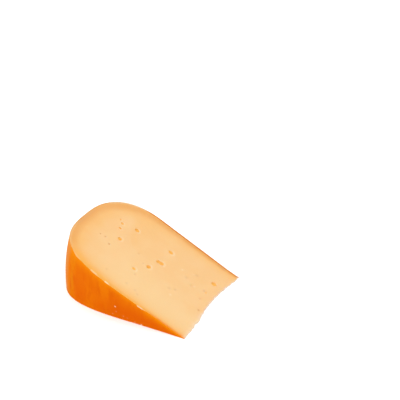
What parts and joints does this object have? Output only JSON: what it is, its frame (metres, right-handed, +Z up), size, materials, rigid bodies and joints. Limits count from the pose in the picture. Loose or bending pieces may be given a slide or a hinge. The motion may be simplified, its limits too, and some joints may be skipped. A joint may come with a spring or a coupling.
{
  "type": "cheese wedge",
  "caption": "Wedge of firm yellow cheese in a thin orange coat, lying on its lower cut face, with small scattered eyes and a worn tip edge.",
  "frame": {"origin": "middle of the box, on the ground plane under the lower cut face", "axes": "+X towards the tip edge, +Y towards the far flat side, +Z up"},
  "size_m": [0.1344, 0.1034, 0.0578],
  "materials": {
    "paste": "soft, slightly waxy cut cheese",
    "coat": "satin orange cheese coating"
  },
  "bodies": {
    "root": {"cheese_wedge": "paste"}
  },
  "joints": []
}
